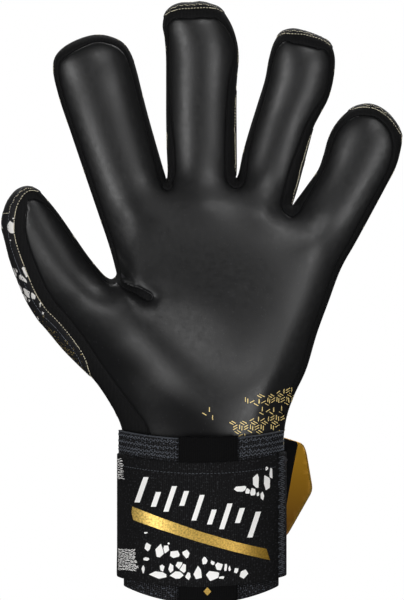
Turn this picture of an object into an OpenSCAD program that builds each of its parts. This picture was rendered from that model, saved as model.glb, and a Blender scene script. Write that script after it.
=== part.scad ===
// Goalkeeper glove for the left hand, standing fingers up with its palm towards -Y.
// X runs from the thumb (-X) to the little finger (+X) and Z from the cuff to the fingertips.
// The origin is the centre of the cuff's opening, and all sizes are in millimetres.

/* [Palm] */
// Depth of the hand from its middle plane to the palm face
palm_depth = 20; // [16:1:26]
// Depth from the middle plane to the back face
back_depth = 18; // [14:1:24]
// Thickness of the latex foam on the palm side
latex = 3.5; // [2:0.5:5]
// Thickness of the panels on the back
back_skin = 2.5; // [1.5:0.5:4]
// Thickness of the fabric strips between palm and back
gusset = 1.8; // [1:0.2:3]
// Thickness of the knitted lining
lining = 1; // [0.6:0.1:2]
// Half the width of the strips between palm and back
gusset_half = 6; // [4:1:8]

/* [Cuff] */
// Half the width of the knitted cuff sleeve
cuff_half_width = 36.6; // [34:0.2:42]
// Half the depth of the knitted cuff sleeve
cuff_half_depth = 22.5; // [19:0.5:26]
// Wall of the sleeve
cuff_wall = 2.5; // [1.5:0.5:4]
// Height of the sleeve
cuff_height = 74; // [60:1:90]
// Thickness of each band and strip sewn on the sleeve
band = 1; // [0.6:0.1:1.4]
// Thickness of the elastic wrist strap
strap = 2.4; // [1.6:0.2:3]
// Lower edge of the wrist strap
strap_bottom = 11; // [8:1:20]
// Upper edge of the wrist strap
strap_top = 64; // [50:1:66]

/* [Closure] */
// Thickness of the coated pull tab at the strap's end
tab = 2.2; // [1.4:0.2:3]
// Thickness of the hook and loop patches
patch = 1; // [0.6:0.2:1.4]
// Width of the pull strip and pull loop at the front of the cuff
pull_width = 27; // [20:1:40]

/* [Hidden] */

gap = 0.3;             // clearance between panels that lie on each other
round_steps = 48;      // sides of the cuff's oval
arc_steps = 12;        // facets across a domed panel
joint_gap = 4.7;         // clear length on each side of a finger joint
axis_depth = 5;        // how far a finger joint's axis lies behind the palm face

// Each digit: name, root centre, splay, length, half width at the root and below the tip,
// depth from its middle plane, root joint and middle joint along its length, forward lean of
// its two segments, and the slope of its joint axes across its width.
DIGITS = [
  ["index",  [-34.5, 0, 197], -17, 78, [17.8, 17.3], 15,   [12, 44], [6, 10], tan(-8.5)],
  ["middle", [0.8, 0, 200],     0, 90, [16.2, 17.2], 15.5, [12, 50], [6, 10], 0],
  ["ring",   [31.5, 0, 199],   16, 79, [15, 15.8],   15,   [12, 44], [6, 10], tan(8)],
  ["pinky",  [60.3, 0, 181.4], 27, 64, [16.8, 16],   14.5, [12, 37], [6, 10], tan(13.5)],
  ["thumb",  [-57.3, -5, 140], -30, 70, [20, 15],    15,   [17, 43], [12, 8], 0]
];

// Rings of the hand from the wrist to the finger roots: left end [x, z], right end [x, z],
// share of the full depth, and how far the ring's middle rises above the chord between its ends.
HAND = [
  [[-36, 86], [37, 86],   0.85, 0],
  [[-43, 96], [44, 97],   0.97, 0],
  [[-57, 111], [51, 111], 1.00, 0],
  [[-70, 125], [57, 128], 1.00, 0],
  [[-79, 139], [62, 144], 1.00, 2],
  [[-47, 160], [68, 159], 0.97, 5],
  [[-47, 178], [75, 172], 0.93, 9],
  [[-53, 196.5], [77, 177.5], 0.90, 14]
];

function digit(name) = [for (d = DIGITS) if (d[0] == name) d][0];

// ---- panels -------------------------------------------------------------------------------

// Triangles of a closed sheet: n rows of m points outside, then the same inside.
function sheet_faces(n, m) = let (inner = n * m) concat(
  [for (i = [0:n-2], j = [0:m-2]) each [
    [i*m + j, (i+1)*m + j, (i+1)*m + j + 1],
    [i*m + j, (i+1)*m + j + 1, i*m + j + 1],
    [inner + i*m + j, inner + (i+1)*m + j + 1, inner + (i+1)*m + j],
    [inner + i*m + j, inner + i*m + j + 1, inner + (i+1)*m + j + 1]]],
  [for (i = [0:n-2]) each [
    [i*m, inner + i*m, inner + (i+1)*m],
    [i*m, inner + (i+1)*m, (i+1)*m],
    [i*m + m-1, inner + (i+1)*m + m-1, inner + i*m + m-1],
    [i*m + m-1, (i+1)*m + m-1, inner + (i+1)*m + m-1]]],
  [for (j = [0:m-2]) each [
    [j, inner + j + 1, inner + j],
    [j, j + 1, inner + j + 1],
    [(n-1)*m + j, inner + (n-1)*m + j, inner + (n-1)*m + j + 1],
    [(n-1)*m + j, inner + (n-1)*m + j + 1, (n-1)*m + j + 1]]]);

// A rounded dome over the plane y = side * gusset_half: side is -1 for the palm and 1 for the back.
// outer and inner are rows of points made with the same number of points each.
module sheet(outer, inner) {
  points = [for (rows = [outer, inner], row = rows) each row];
  polyhedron(points, sheet_faces(len(outer), len(outer[0])), convexity = 6);
}

// One row of a digit's dome at height z, with half width a and height h over the strip's edge.
function dome_row(z, a, h, side, slope) = [for (i = [0:arc_steps])
  let (v = side < 0 ? 180 + 180 * i / arc_steps : 180 * i / arc_steps, x = a * cos(v))
  [x, side * (gusset_half + gap/2) + h * sin(v), z + slope * x]];

// Share of the full width and height left at z, where the tip's rounding starts at z0 and ends at z1.
function tip_share(z, z0, z1) = z <= z0 ? 1 : sqrt(max(0.002, 1 - pow((z - z0) / (z1 - z0), 2)));

// A digit's half width at a place along it.
function half_width(d, z) = d[4][0] + (d[4][1] - d[4][0]) * z / d[3];

// Domed panel of a digit from z0 to z1, closed over the tip when it reaches the digit's end.
module digit_dome(d, z0, z1, side, wall, inset = 0) {
  tip = 15;
  ends_at_tip = z1 >= d[3];
  heights = ends_at_tip
    ? concat([z0, (z0 + z1 - tip) / 2, z1 - tip], [for (s = [0.35, 0.6, 0.8, 0.93, 1]) z1 - tip + tip * s])
    : [z0, (z0 + z1) / 2, z1];
  rise = d[5] - gusset_half;
  function rows(cut) = [for (z = heights)
    let (
      zc = ends_at_tip && z > z1 - tip ? z1 - tip + (z - z1 + tip) * (tip - cut) / tip : z,
      share = tip_share(z, ends_at_tip ? z1 - tip : z1 + 1, z1 + 1),
      slope = d[8] * (z1 > d[3] - 1 ? max(0, 1 - (z - z0) / (z1 - z0)) : 1))
    dome_row(zc, (half_width(d, z) - cut) * share, (rise - cut) * share, side, slope)];
  sheet(rows(inset), rows(inset + wall));
}

// The two side walls of a digit between z0 and z1.
module digit_walls(d, z0, z1) {
  for (s = [-1, 1])
    rotate([90, 0, 0])
      linear_extrude(2 * gusset_half - gap, center = true)
        polygon([for (p = [[0, z0], [0, z1], [gusset, z1], [gusset, z0]])
          let (x = s * (half_width(d, p[1]) - p[0])) [x, p[1] + d[8] * x]]);
}

// The strip that runs up one side of a fingertip, over its end and down the other side.
module tip_strip(d, z0) {
  tip = 15;
  z1 = d[3];
  function path(cut) = concat(
    [[-(half_width(d, z0) - cut), z0 - d[8] * half_width(d, z0)]],
    [for (v = [180:-15:0]) [(half_width(d, z1 - tip) - cut) * cos(v), z1 - tip + (tip - cut) * sin(v)]],
    [[half_width(d, z0) - cut, z0 + d[8] * half_width(d, z0)]]);
  outside = path(0);
  inside = path(gusset);
  rotate([90, 0, 0])
    linear_extrude(2 * gusset_half - gap, center = true)
      polygon(concat(outside, [for (i = [len(inside)-1:-1:0]) inside[i]]));
}

// Places a digit's first or second segment in the hand.
module at_first(d) {
  translate(d[1]) rotate([0, d[2], 0]) rotate([d[7][0], 0, 0]) children();
}
module at_second(d) {
  hinge_y = axis_depth - d[5];
  at_first(d) translate([0, hinge_y, d[6][1]]) rotate([d[7][1], 0, 0])
    translate([0, -hinge_y, -d[6][1]]) children();
}

function first_from(d) = d[6][0] + joint_gap;
function first_to(d) = d[6][1] - joint_gap;
function second_from(d) = d[6][1] + joint_gap;

module digit_part(name, part) {
  d = digit(name);
  if (part == "palm_proximal")
    color("#1b1b1c") at_first(d) digit_dome(d, first_from(d), first_to(d), -1, latex);
  if (part == "back_proximal")
    color("#222224") at_first(d) digit_dome(d, first_from(d), first_to(d), 1, back_skin);
  if (part == "gusset_proximal")
    color("#2c2c2e") at_first(d) digit_walls(d, first_from(d), first_to(d));
  if (part == "palm_distal")
    color("#1b1b1c") at_second(d) digit_dome(d, second_from(d), d[3], -1, latex);
  if (part == "back_distal")
    color("#222224") at_second(d) digit_dome(d, second_from(d), d[3], 1, back_skin);
  if (part == "gusset_distal")
    color("#2c2c2e") at_second(d) tip_strip(d, second_from(d));
}

// ---- hand ---------------------------------------------------------------------------------

// One row of the hand's dome: flat in the middle, rounded down to the strip at both sides.
function hand_row(ring, depth, cut, side) =
  let (
    l = ring[0], r = ring[1], a = (r[0] - l[0]) / 2 - cut, mid = (l[0] + r[0]) / 2,
    rise = depth * ring[2] - gusset_half - cut)
  [for (i = [0:2*arc_steps])
    let (
      v = side < 0 ? 180 + 90 * i / arc_steps : 90 * i / arc_steps,
      x = a * sign(cos(v)) * pow(abs(cos(v)), 0.75), t = (mid + x - l[0]) / (r[0] - l[0]),
      y = rise * sign(sin(v)) * pow(abs(sin(v)), 0.6))
    [mid + x, side * (gusset_half + gap/2) + y, l[1] + (r[1] - l[1]) * t + ring[3] * 4 * t * (1 - t)]];

module hand_dome(depth, side, wall, inset = 0)
  sheet([for (r = HAND) hand_row(r, depth, inset, side)],
        [for (r = HAND) hand_row(r, depth, inset + wall, side)]);

// A side wall of the hand along rings first to last: end 0 is the thumb's side and 1 the little finger's.
module hand_wall(first, last, end) {
  way = end == 0 ? 1 : -1;
  edge = [for (i = [first:last]) HAND[i][end]];
  rotate([90, 0, 0])
    linear_extrude(2 * gusset_half - gap, center = true)
      polygon(concat(edge, [for (i = [len(edge)-1:-1:0]) edge[i] + [way * gusset, 0]]));
}

module palm_latex() color("#1b1b1c") hand_dome(palm_depth, -1, latex);
module backhand_panel() color("#222224") hand_dome(back_depth, 1, back_skin);
module palm_lining() color("#3a3a3c") hand_dome(palm_depth, -1, lining, latex + gap);
module back_lining() color("#3a3a3c") hand_dome(back_depth, 1, lining, back_skin + gap);
module pinky_side_gusset() color("#2c2c2e") hand_wall(0, len(HAND) - 1, 1);
module thumb_side_gusset() color("#2c2c2e") {
  hand_wall(0, 4, 0);
  hand_wall(5, len(HAND) - 1, 0);
}

// Rolls of fabric at the roots between neighbouring fingers.
module finger_webs() color("#2c2c2e")
  for (p = [[-16, 199], [17, 200], [46, 188]])
    translate([p[0], 0, p[1]]) rotate([90, 0, 0]) cylinder(h = 24, r = 2.5, center = true, $fn = 32);

// ---- cuff ---------------------------------------------------------------------------------

// Points of an oval offset outwards by grow, from angle u0 to u1.
function oval(grow, u0, u1, n) = [for (i = [0:n]) let (u = u0 + (u1 - u0) * i / n)
  [(cuff_half_width + grow) * cos(u), (cuff_half_depth + grow) * sin(u)]];

module oval_tube(inner, outer, z0, z1)
  translate([0, 0, z0]) linear_extrude(z1 - z0) difference() {
    polygon(oval(outer, 0, 360 - 360 / round_steps, round_steps - 1));
    polygon(oval(inner, 0, 360 - 360 / round_steps, round_steps - 1));
  }

module oval_strip(inner, outer, u0, u1, z0, z1) {
  n = ceil(abs(u1 - u0) / 7.5);
  inside = oval(inner, u0, u1, n);
  translate([0, 0, z0]) linear_extrude(z1 - z0)
    polygon(concat(oval(outer, u0, u1, n), [for (i = [n:-1:0]) inside[i]]));
}

on_band = band + gap / 2;                     // inner offset of what lies on the bands
on_strip = on_band + band + gap / 2;          // inner offset of the wrist strap
strap_outer = on_strip + strap;
pull_angle = asin(pull_width / 2 / cuff_half_width);
pull_centre = 275;                             // where the pull strip sits round the cuff

module cuff_sleeve() color("#202022") oval_tube(-cuff_wall, 0, 1, cuff_height);
module upper_knit_band() color("#2a2b30") oval_tube(gap / 2, band, strap_top + 1, cuff_height + 1);
module lower_hem_band() color("#2a2b30") oval_tube(gap / 2, band, 1, strap_bottom - 2);
module wrist_knit() color("#2a2b30") oval_tube(-cuff_wall, -cuff_wall + 1.5, cuff_height + 0.5, 85.5);

module pull_strip() color("#101011")
  oval_strip(on_band, on_band + band, pull_centre - pull_angle, pull_centre + pull_angle, strap_bottom - 1, cuff_height);

// The folded webbing loop that hangs at the lower edge, two layers joined by their bottom fold.
module pull_loop() color("#101011") {
  inner = on_band + gap / 2;
  oval_strip(inner, inner + 1.2, pull_centre - pull_angle, pull_centre + pull_angle, 0, strap_bottom - 2);
  oval_strip(inner + 1.2, inner + 2, pull_centre - pull_angle, pull_centre + pull_angle, 0, 1.2);
  oval_strip(inner + 2, inner + 3.2, pull_centre - pull_angle, pull_centre + pull_angle, 0, strap_bottom - 2);
}

module wrist_strap_front() color("#1d1d20")
  oval_strip(on_strip, strap_outer, 186, 354, strap_bottom, strap_top);
module strap_end_binding() color("#2a2b33")
  oval_strip(on_strip, strap_outer + 0.6, 354.6, 361, strap_bottom, strap_top);
module loop_patch() color("#151516")
  oval_strip(gap / 2, gap / 2 + patch, 50, 115, strap_bottom + 3, strap_top - 3);
module wrist_strap_back() color("#1d1d20")
  oval_strip(on_strip, strap_outer, 102, 183, strap_bottom, strap_top);

// The pull tab: a five-sided plate over the back of the wrist whose point stands out past the side.
tab_base = [-5, cuff_half_depth + on_strip + 0.6];
tab_turn = -7;
module on_back(depth) translate([tab_base[0], tab_base[1], 0]) rotate([0, 0, tab_turn])
  translate([0, depth, 0]) rotate([90, 0, 0]) children();
module closure_tab() color("#b8860b") on_back(tab + patch + gap)
  linear_extrude(tab)
    polygon([[0.6, strap_bottom], [0.6, strap_top], [30, strap_top + 8], [49, strap_top + 12],
             [56, strap_top + 9.5], [60, strap_top - 14], [46, 27], [30, strap_bottom]]);
module hook_patch() color("#0c0c0d") on_back(patch)
  linear_extrude(patch)
    polygon([[2, strap_bottom + 3], [2, strap_top - 3], [30, strap_top + 5], [49, strap_top + 9],
             [52, strap_top + 6], [45, 31], [30, strap_bottom + 3]]);

// ---- nodes --------------------------------------------------------------------------------

cuff_sleeve();
upper_knit_band();
lower_hem_band();
pull_strip();
pull_loop();
wrist_strap_front();
strap_end_binding();
loop_patch();
wrist_strap_back();
closure_tab();
hook_patch();
wrist_knit();
palm_latex();
backhand_panel();
thumb_side_gusset();
pinky_side_gusset();
finger_webs();
palm_lining();
back_lining();
for (d = DIGITS)
  for (part = ["palm_proximal", "back_proximal", "gusset_proximal", "palm_distal", "back_distal", "gusset_distal"])
    digit_part(d[0], part);
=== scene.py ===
import math

import bpy
import numpy as np
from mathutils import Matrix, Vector, geometry, kdtree
from mathutils.bvhtree import BVHTree


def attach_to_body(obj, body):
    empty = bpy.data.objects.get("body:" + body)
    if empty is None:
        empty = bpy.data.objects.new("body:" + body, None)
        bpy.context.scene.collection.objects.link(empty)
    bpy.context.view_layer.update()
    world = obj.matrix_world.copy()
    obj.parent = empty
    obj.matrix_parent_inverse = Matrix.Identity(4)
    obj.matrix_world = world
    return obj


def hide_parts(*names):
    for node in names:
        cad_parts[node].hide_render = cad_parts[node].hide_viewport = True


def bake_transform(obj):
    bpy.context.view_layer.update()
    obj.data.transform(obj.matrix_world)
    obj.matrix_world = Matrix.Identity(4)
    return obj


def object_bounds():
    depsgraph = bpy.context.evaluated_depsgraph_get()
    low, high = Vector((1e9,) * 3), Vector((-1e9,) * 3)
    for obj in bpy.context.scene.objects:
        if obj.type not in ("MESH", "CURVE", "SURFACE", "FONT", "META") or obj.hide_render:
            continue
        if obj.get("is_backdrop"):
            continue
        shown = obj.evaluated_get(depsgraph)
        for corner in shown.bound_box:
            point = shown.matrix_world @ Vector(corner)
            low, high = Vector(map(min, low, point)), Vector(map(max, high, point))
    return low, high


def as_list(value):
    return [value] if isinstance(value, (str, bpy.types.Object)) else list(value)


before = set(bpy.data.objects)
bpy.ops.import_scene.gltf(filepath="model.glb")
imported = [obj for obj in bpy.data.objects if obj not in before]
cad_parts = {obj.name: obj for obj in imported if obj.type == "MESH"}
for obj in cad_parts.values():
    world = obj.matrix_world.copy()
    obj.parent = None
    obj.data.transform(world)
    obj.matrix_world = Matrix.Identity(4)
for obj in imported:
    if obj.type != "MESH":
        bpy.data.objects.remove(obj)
size_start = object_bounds()
MM = 0.001
EYE = 2446  # distance from the camera to the plane y = 0, mm
CENTRE = [1.0, 144.0]  # x and z that the camera looks at, mm
CX, CA, CB = 0.6, 36.6, 22.5  # middle and half axes of the cuff's oval, mm
BACK = 0.93  # how far the back bulges, as a share of the palm's side


def new_object(name, data):
    o = bpy.data.objects.new(name, data)
    bpy.context.scene.collection.objects.link(o)
    return o


# ---------------------------------------------------------------- camera
camera = new_object("camera", bpy.data.cameras.new("camera"))
camera.data.lens = 300
camera.data.sensor_width = 36
camera.data.clip_end = 20
camera.location = (0.0010, -2.4462, 0.1440)
camera.rotation_euler = (math.radians(90), 0, 0)
bpy.context.scene.camera = camera

# ---------------------------------------------------------------- outline of the hand, mm
# x, z, width from the silhouette to the latex edge, and to the back panel's edge; a negative last
# value puts the back panel's edge round on the back of the hand.
OUTLINE = [
    (-38.0, 56, 12, -3), (-37.8, 70, 12.5, -3), (-37.9, 79, 12, -3), (-39.8, 85.5, 9.4, -3),
    (-45.6, 96, 7.3, -2.5), (-52.0, 105, 7.2, -1.0), (-59.5, 112.4, 9.5, 4.5), (-66.5, 119.5, 11.2, 6.6),
    (-74.5, 129, 11.6, 6.8), (-79.7, 135.2, 11.3, 6.0), (-85.3, 144.5, 11, 5.6), (-89.8, 155, 10.8, 5.6),
    (-92.9, 163.5, 10.5, 5.4), (-95.2, 172.5, 10.2, 5.0), (-97.0, 180, 11.2, 6.0), (-96.2, 187, 11, 5.8),
    (-93.4, 193.5, 10, 5.0), (-89.4, 198, 9.2, 4.2), (-84.4, 199.6, 7.6, 2.5), (-79.6, 198, 5.2, 0.6),
    (-75.4, 193.9, 2.4, -0.8), (-69.4, 186.6, 1.0, -1.6), (-60.6, 173.9, 1.0, -2), (-54.8, 165.6, 1.0, -2),
    (-49.4, 158.9, 1.0, -2), (-46.2, 155.6, 1.2, -2), (-43.3, 154.3, 1.6, -2), (-41.0, 156.2, 1.8, -2),
    (-41.8, 161, 1.8, -2), (-44.6, 171, 1.8, -2), (-49.5, 185.5, 1.9, -2), (-54.1, 199, 2.0, -2),
    (-62.9, 225, 1.9, -2), (-69.4, 244.6, 1.9, -1.8), (-71.9, 256.5, 2.2, -1.2), (-71.1, 262.6, 3.0, -0.8),
    (-67, 267.5, 4.0, -0.5), (-58.6, 272, 3.8, -0.3), (-50.5, 273.9, 3.1, -0.6), (-43.9, 273, 3.0, -1),
    (-37.7, 270, 2.9, -1.4), (-33.9, 264.9, 2.3, -1.8), (-30.7, 255.3, 2.1, -2), (-28.8, 247.6, 2.0, -2),
    (-25.7, 235.5, 2.0, -2), (-20.9, 218.4, 2.3, -2), (-17.3, 206.2, 2.7, -2), (-16.3, 203.2, 3.0, -1.6),
    (-15.9, 206.2, 3.1, -1.6), (-16.3, 218, 3.2, -1.8), (-16.6, 234, 1.7, -2), (-16.6, 250, 0.9, -2),
    (-16.7, 264, 0.9, -2), (-17.4, 272.5, 1.4, -1.6), (-18.3, 278.2, 2.2, -1), (-17.2, 283.8, 4.9, 0.4),
    (-14.4, 287.2, 6.4, 2.1), (-9.8, 289.2, 7.2, 2.8), (-4.5, 289.4, 7.3, 2.7), (0.5, 289.9, 7.4, 2.9),
    (5.6, 288.7, 6.6, 1.8), (9.6, 287, 5.7, 0.9), (12.6, 283.6, 4.0, -0.2), (16.1, 277.2, 2.2, -1),
    (18.5, 268.6, 1.2, -1.5), (19.0, 262, 1.9, -1.5), (18.3, 253.5, 3.0, -0.8), (17.7, 244, 3.6, 0.2),
    (17.7, 226, 4.7, 0.6), (17.8, 210, 4.9, 0.4), (17.8, 203.6, 4.4, -0.3), (18.7, 205.4, 3.4, -1),
    (21, 216, 2.4, -1.8), (24.1, 227, 1.9, -2), (28.3, 240.5, 1.7, -2), (31.8, 252, 1.5, -2),
    (33.8, 262.5, 1.6, -1.6), (36.2, 270.1, 2.6, -0.8), (39.7, 275, 5.0, 0.8), (45, 276.7, 6.8, 2.5),
    (51.5, 275.5, 6.4, 1.6), (58.6, 272.9, 5.7, 1.0), (63.5, 269.9, 4.4, 0.5), (65.8, 264, 2.3, -0.6),
    (66, 257.5, 1.8, -1), (64.6, 248.5, 1.5, -1.4), (62.4, 241.6, 1.8, -1.2), (58.9, 235, 2.7, -0.6),
    (55.4, 228, 3.1, 0), (52.9, 219, 4.0, 0.6), (50.2, 208.5, 5.2, 0.7), (47.2, 197.5, 5.4, 0.6),
    (45, 190.2, 4.6, 0), (47.2, 193, 3.6, -1), (53, 200.9, 2.6, -1.8), (57.9, 208, 1.8, -2),
    (60.4, 215, 2.1, -2), (62.6, 222.8, 2.4, -1.8), (65.8, 229.3, 2.6, -1.2), (70.6, 234.9, 3.0, -0.4),
    (76, 238.7, 4.5, 0.7), (82.7, 239.9, 5.4, 1.5), (88, 238.3, 5.0, 1.5), (93, 234.4, 4.6, 1.2),
    (97.3, 228.4, 4.5, 0.8), (98.9, 223.5, 4.6, 0), (97.9, 216, 3.1, -1), (95.6, 208.4, 2.5, -1.5),
    (90.8, 199.2, 2.1, -1.8), (84.0, 186.5, 2.4, -1.8), (76.1, 172, 2.3, -1.8), (69.1, 159.5, 2.2, -1.8),
    (62.7, 142.5, 2.1, -1.8), (57.4, 128, 2.0, -1.8), (51.8, 109.5, 2.0, -1.8), (46.2, 97.5, 1.9, -1.8),
    (42.8, 88, 1.8, -1.8), (41.2, 79, 1.8, -1.8), (40.8, 70, 1.8, -1.8), (40.8, 56, 1.8, -1.8),
]
# name: root x, z; splay; half width; lean of the two segments; middle joint along it; where its
# pieces are parted (root, middle); and where each joint's bend starts and ends.
DIGITS = {
    "index": ((-34.5, 197), -17, 17.6, (6, 16), 44, (2, 28.5), (2, 26), (30, 58)),
    "middle": ((0.8, 200), 0, 16.6, (6, 16), 50, (4.2, 31.5), (4, 28), (36, 64)),
    "ring": ((31.5, 199), 16, 15.6, (6, 16), 44, (2, 28.5), (2, 26), (30, 58)),
    "pinky": ((60.3, 181.4), 27, 16.8, (6, 16), 37, (3, 26), (3, 24), (27, 48)),
    "thumb": ((-57.3, 140), -30, 19.5, (12, 20), 43, (6.6, 30.3), (6.5, 28.5), (32, 54)),
}


def spline(points, step):
    """Points about step apart along a smooth curve through the given rows."""
    p = np.array(points, float)
    p = np.vstack([2 * p[0] - p[1], p, 2 * p[-1] - p[-2]])
    rows = []
    for i in range(1, len(p) - 2):
        a, b, c, d = p[i - 1:i + 3]
        ta = max(np.hypot(*(b - a)[:2]), 1e-6) ** 0.5
        tb = max(np.hypot(*(c - b)[:2]), 1e-6) ** 0.5
        tc = max(np.hypot(*(d - c)[:2]), 1e-6) ** 0.5
        m1 = ((b - a) / ta - (c - a) / (ta + tb) + (c - b) / tb) * tb
        m2 = ((c - b) / tb - (d - b) / (tb + tc) + (d - c) / tc) * tb
        n = max(2, int(round(np.hypot(*(c - b)[:2]) / step)))
        for s in np.arange(n) / n:
            rows.append((2 * s**3 - 3 * s**2 + 1) * b + (s**3 - 2 * s**2 + s) * m1
                        + (-2 * s**3 + 3 * s**2) * c + (s**3 - s**2) * m2)
    rows.append(p[-2])
    return np.array(rows)


edge = spline(OUTLINE, 0.65)
STEP = 0.5
GX = np.arange(-103, 105.01, STEP)
GZ = np.arange(56, 294.01, STEP)
WAYS = ((0, 1), (0, -1), (1, 1), (1, -1))  # the neighbours of a grid node: axis and direction

tree = kdtree.KDTree(len(edge))
for i, q in enumerate(edge):
    tree.insert((q[0], q[1], 0), i)
tree.balance()


def nearest(p):
    """Distance from each 2-D point to the outline, and the outline's two band widths there."""
    k = np.array([tree.find((a, b, 0))[1] for a, b in p])
    best = np.full(len(p), 1e9)
    wide = np.zeros((len(p), 2))
    for j in (-1, 0):
        at = np.clip(k + j, 0, len(edge) - 2)
        a, b = edge[at], edge[at + 1]
        ab = b[:, :2] - a[:, :2]
        t = np.clip(((p - a[:, :2]) * ab).sum(1) / (ab**2).sum(1), 0, 1)
        d = np.hypot(*(p - a[:, :2] - t[:, None] * ab).T)
        closer = d < best
        best = np.where(closer, d, best)
        wide[closer] = (a[:, 2:] + t[:, None] * (b[:, 2:] - a[:, 2:]))[closer]
    return best, wide


def inside_grid():
    """Which grid nodes lie inside the outline."""
    loop = np.vstack([edge[:, :2], edge[:1, :2]])
    inside = np.zeros((len(GZ), len(GX)), bool)
    for r, z in enumerate(GZ + 1e-6):
        a, b = loop[:-1], loop[1:]
        hit = (a[:, 1] > z) != (b[:, 1] > z)
        x = a[hit, 0] + (z - a[hit, 1]) / (b[hit, 1] - a[hit, 1]) * (b[hit, 0] - a[hit, 0])
        inside[r] = (GX[:, None] < x[None]).sum(1) % 2 == 1
    return inside


mesh_x, mesh_z = np.meshgrid(GX, GZ)
grid_points = np.stack([mesh_x.ravel(), mesh_z.ravel()], 1)
inside = inside_grid()
dist, wide = nearest(grid_points)
dist = dist.reshape(inside.shape)
wide = wide.reshape(inside.shape + (2,))
signed = np.where(inside, dist, -dist)


def solve_height():
    """Solves for the square of the half thickness: zero at the outline and levelling off in the palm."""
    soft = 15.0  # length over which it levels off, mm
    h2 = STEP * STEP
    off = {}
    diag = np.full(inside.shape, h2 / soft**2)
    for axis, way in WAYS:
        there = np.roll(inside, -way, axis)
        d_there = np.roll(signed, -way, axis)
        open_end = np.zeros_like(inside)
        if axis == 0 and way == -1:
            there[0], d_there[0], open_end[0] = False, 0, True
        theta = np.clip(dist / np.maximum(dist + np.abs(d_there), 1e-9), 0.1, 1)
        diag += np.where(open_end, 0, np.where(there, 1, 1 / theta))
        off[axis, way] = there & ~open_end
    u = np.where(inside, np.minimum(dist * 12, 150.0), 0)

    def apply(v):
        out = diag * v
        for (axis, way), mask in off.items():
            out -= np.where(mask, np.roll(v, -way, axis), 0)
        return np.where(inside, out, 0)

    r = np.where(inside, h2, 0.0) - apply(u)
    p = r / diag
    rz = (r * p).sum()
    for _ in range(900):
        ap = apply(p)
        alpha = rz / (p * ap).sum()
        u += alpha * p
        r -= alpha * ap
        if np.abs(r).max() < 1e-6:
            break
        s = r / diag
        rz, old = (r * s).sum(), rz
        p = s + rz / old * p
    return u


height2 = solve_height()
# ratio of the solution to the distance: smooth up to the outline, so it is carried past it
TRUSTED = 0.6  # the solution is taken from this far inside the outline, mm
known = inside & (dist > TRUSTED)
share = np.where(known, height2 / np.maximum(dist, TRUSTED), 0)
for _ in range(6):
    total = np.zeros_like(share)
    count = np.zeros_like(share)
    for axis, way in WAYS:
        near = np.roll(known, way, axis)
        total += np.where(near, np.roll(share, way, axis), 0)
        count += near
    new = ~known & (count > 0)
    share[new] = (total / np.maximum(count, 1))[new]
    known |= new


def sample(field, p):
    """The grid field's value at each 2-D point."""
    fx = np.clip((p[:, 0] - GX[0]) / STEP, 0, len(GX) - 1.001)
    fz = np.clip((p[:, 1] - GZ[0]) / STEP, 0, len(GZ) - 1.001)
    i, j = fx.astype(int), fz.astype(int)
    a, b = fx - i, fz - j
    return (field[j, i] * (1 - a) * (1 - b) + field[j, i + 1] * a * (1 - b)
            + field[j + 1, i] * (1 - a) * b + field[j + 1, i + 1] * a * b)


def smooth(x, lo, hi):
    """A soft step from 0 at lo to 1 at hi."""
    t = np.clip((x - lo) / (hi - lo), 0, 1)
    return t * t * (3 - 2 * t)


def bump(p, x, z, rx, rz, turn=0.0):
    """A soft round hump centred on x, z."""
    c, s = math.cos(math.radians(turn)), math.sin(math.radians(turn))
    dx, dz = p[:, 0] - x, p[:, 1] - z
    return np.exp(-((c * dx + s * dz) / rx) ** 2 - ((-s * dx + c * dz) / rz) ** 2)


def along(name, p):
    """Length along a digit and distance across it."""
    root, splay = DIGITS[name][:2]
    a = math.radians(splay)
    dx, dz = p[:, 0] - root[0], p[:, 1] - root[1]
    return dx * math.sin(a) + dz * math.cos(a), dx * math.cos(a) - dz * math.sin(a)


def half_thickness(p, d):
    """Half the hand's thickness over 2-D points at distance d from the outline; an oval at the wrist."""
    near = np.sqrt(np.maximum(2 * sample(share, p) * d, 0))
    far = np.sqrt(np.maximum(2 * sample(height2, p), 0))
    w = smooth(d, 2.5, 4.0)
    h = near * (1 - w) + far * w
    wrist = smooth(p[:, 1], 106, 80)
    left = np.interp(p[:, 1], (79, 85.5, 96, 105), (-37.9, -39.8, -45.6, -52))
    right = np.interp(p[:, 1], (79, 88, 97.5, 109.5), (41.2, 42.8, 46.2, 51.8))
    cuff = CB * np.sqrt(np.clip(1 - ((2 * p[:, 0] - left - right) / (right - left)) ** 2, 0, 1))
    return h * (1 - wrist) + cuff * wrist * smooth(d, -0.1, 0.8) ** 0.5


def past_ridge(p, x, z):
    """Distance on the thumb's side of a line through x, z that runs down from the thumb."""
    return (p[:, 0] - x) * -0.629 + (p[:, 1] - z) * -0.778


def middle_y(p):
    """How far the middle of the glove lies from the plane y = 0: digits lean towards the palm side."""
    # the thumb side of the palm falls back, away from a ridge that runs down from the thumb
    q = past_ridge(p, -54.0, 143.7)
    y = 0.33 * (0.5 * q + 0.5 * np.sqrt(q * q + 120)) * smooth(p[:, 1], 79, 112) * smooth(p[:, 0], 30, 0)
    for name, spec in DIGITS.items():
        half, lean, middle_joint = spec[2:5]
        t, s = along(name, p)
        over1 = np.where(t > 8, t - 4, np.maximum(t, 0) ** 2 / 16)
        u = np.maximum(t - middle_joint + 10, 0)
        over2 = np.where(u > 20, u - 10, u ** 2 / 40)
        k1, k2 = (math.tan(math.radians(v)) for v in lean)
        mine = smooth(np.abs(s) / half, 1.5, 1.05)
        drop = over1 * k1 + over2 * (k2 - k1)
        if name == "thumb":
            drop = drop + 5 * smooth(t, -25, 12) + 0.2 * s * smooth(t, -25, 10)
        y -= drop * mine
    return y


def draw_in(v):
    """Draws in what stands nearer the camera, so that the outline is met at every depth."""
    k = 1 + v[:, 1:2] / EYE
    v[:, [0, 2]] = (v[:, [0, 2]] - CENTRE) * k + CENTRE


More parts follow.
